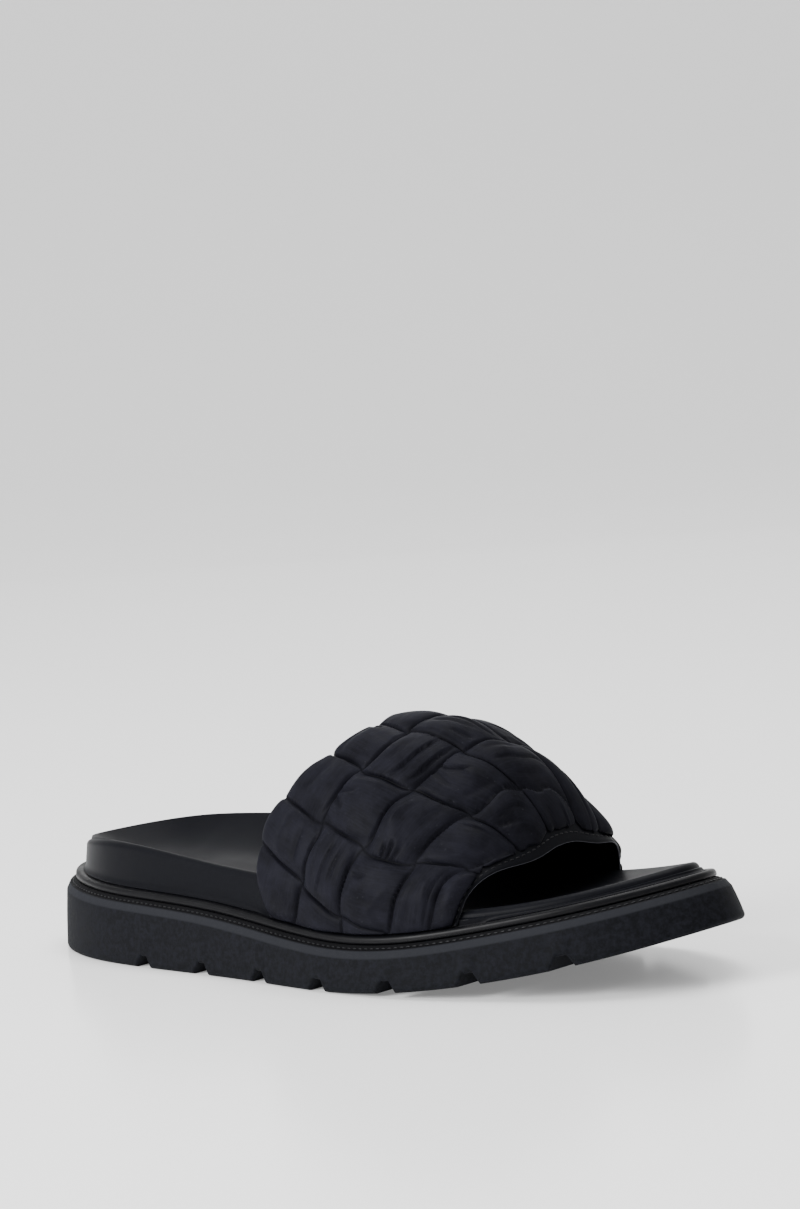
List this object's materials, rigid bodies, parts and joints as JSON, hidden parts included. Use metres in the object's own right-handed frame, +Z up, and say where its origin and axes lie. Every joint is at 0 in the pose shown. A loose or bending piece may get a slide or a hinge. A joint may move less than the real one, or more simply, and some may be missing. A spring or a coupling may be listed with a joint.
{
  "type": "flat slide sandal",
  "caption": "Flat slide sandal for a right foot: thick lugged foam sole, raised moulded footbed and a wide band of padded satin straps woven over and under",
  "frame": {"origin": "middle of the bounding box at floor level", "axes": "+X from heel to toe, +Y towards the inner side of the foot, +Z up from the floor"},
  "size_m": [0.2616, 0.0964, 0.079],
  "materials": {
    "sole_foam": "matt black moulded foam rubber with a fine dry grain",
    "welt_bead": "smooth half gloss black bead, stitched along its outer foot",
    "footbed_leather": "smooth black leather look with a satin gloss",
    "strap_satin": "black satin over soft padding, with pleats and puckers"
  },
  "bodies": {
    "root": {"outsole": "sole_foam", "welt": "welt_bead", "footbed": "footbed_leather", "upper": "strap_satin"}
  },
  "joints": []
}
